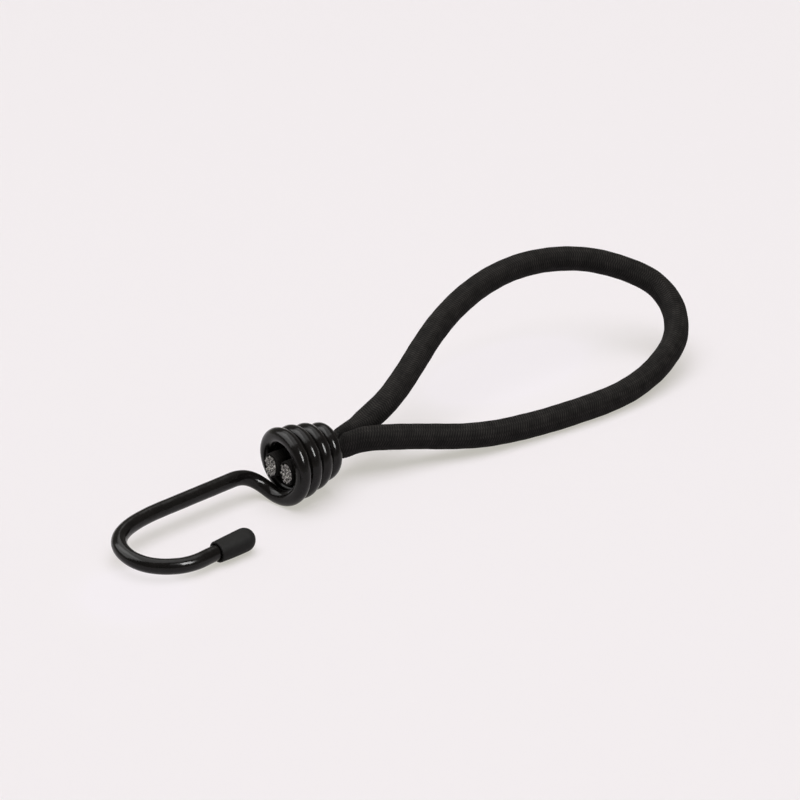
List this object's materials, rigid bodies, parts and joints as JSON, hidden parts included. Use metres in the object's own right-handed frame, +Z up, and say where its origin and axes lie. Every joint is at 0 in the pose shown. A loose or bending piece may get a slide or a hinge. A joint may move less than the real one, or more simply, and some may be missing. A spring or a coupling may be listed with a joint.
{
  "type": "bungee cord",
  "caption": "Bungee loop: braided elastic cord doubled into a loop, its ends gripped in the tapered coil of a black coated wire hook with a capped tip",
  "frame": {"origin": "on the surface that the cord lies on, under the middle of the first turn of the coil", "axes": "+X along the coil's axis from the hook to the loop, +Z up, -Y to the side of the hook's capped tip"},
  "size_m": [0.2429, 0.059, 0.0379],
  "materials": {
    "coated_steel": "smooth gloss black coating",
    "cap_vinyl": "matt soft vinyl",
    "braid": "tight black polyester braid",
    "strand_rubber": "cut off-white latex",
    "clip_steel": "zinc-plated wire"
  },
  "bodies": {
    "loop": {"cord_sheath": "braid", "rubber_strand_01": "strand_rubber", "rubber_strand_02": "strand_rubber", "rubber_strand_03": "strand_rubber", "rubber_strand_04": "strand_rubber", "rubber_strand_05": "strand_rubber", "rubber_strand_06": "strand_rubber", "rubber_strand_07": "strand_rubber", "rubber_strand_08": "strand_rubber", "rubber_strand_09": "strand_rubber", "rubber_strand_10": "strand_rubber", "rubber_strand_11": "strand_rubber", "rubber_strand_12": "strand_rubber", "rubber_strand_13": "strand_rubber", "rubber_strand_14": "strand_rubber", "rubber_strand_15": "strand_rubber", "rubber_strand_16": "strand_rubber", "rubber_strand_17": "strand_rubber", "rubber_strand_18": "strand_rubber", "rubber_strand_19": "strand_rubber"},
    "cord_ends": {"end_clip": "clip_steel"},
    "hook": {"hook_wire": "coated_steel", "tip_cap": "cap_vinyl"}
  },
  "joints": [
    {"name": "loop_stretch", "type": "slide", "parent": "loop", "child": "cord_ends", "axis": [-1, 0, 0], "range_m": [0, 0.11], "stiffness_N_per_m": 2000, "deforming": ["cord_sheath", "rubber_strand_01", "rubber_strand_02", "rubber_strand_03", "rubber_strand_04", "rubber_strand_05", "rubber_strand_06", "rubber_strand_07", "rubber_strand_08", "rubber_strand_09", "rubber_strand_10", "rubber_strand_11", "rubber_strand_12", "rubber_strand_13", "rubber_strand_14", "rubber_strand_15", "rubber_strand_16", "rubber_strand_17", "rubber_strand_18", "rubber_strand_19"]},
    {"name": "hook_swivel", "type": "hinge", "parent": "cord_ends", "child": "hook", "pos_m": [0, 0, 0.0123], "axis": [1, 0, 0], "continuous": true}
  ]
}
